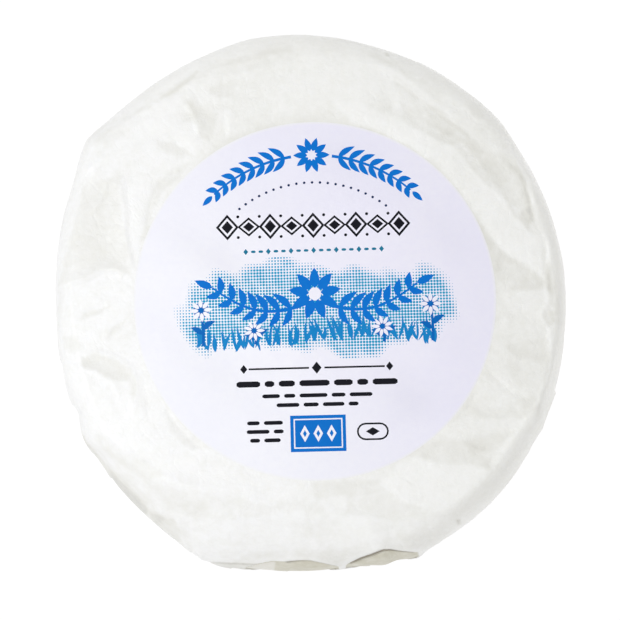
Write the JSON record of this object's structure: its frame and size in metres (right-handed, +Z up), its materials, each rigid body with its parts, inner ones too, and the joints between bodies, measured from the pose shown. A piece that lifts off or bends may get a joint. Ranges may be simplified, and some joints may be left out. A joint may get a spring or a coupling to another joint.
{
  "type": "wrapped brie wheel",
  "caption": "Whole wheel of soft-ripened brie cheese, wrapped shut in white waxed paper with gathered folds underneath and a round paper label on top, lying flat.",
  "frame": {"origin": "on the table, under the middle of the wheel's bounding box", "axes": "+Z up through the label, +X to the label's right, +Y towards the label's top edge"},
  "size_m": [0.2012, 0.2126, 0.0359],
  "materials": {
    "wrap_paper": "thin white waxed cheese paper, soft sheen, slightly translucent, creased",
    "label_paper": "smooth coated label paper, cool white, printed in blue, pale blue, teal and black"
  },
  "bodies": {
    "root": {"wrapped_wheel": "wrap_paper", "label": "label_paper"}
  },
  "joints": []
}
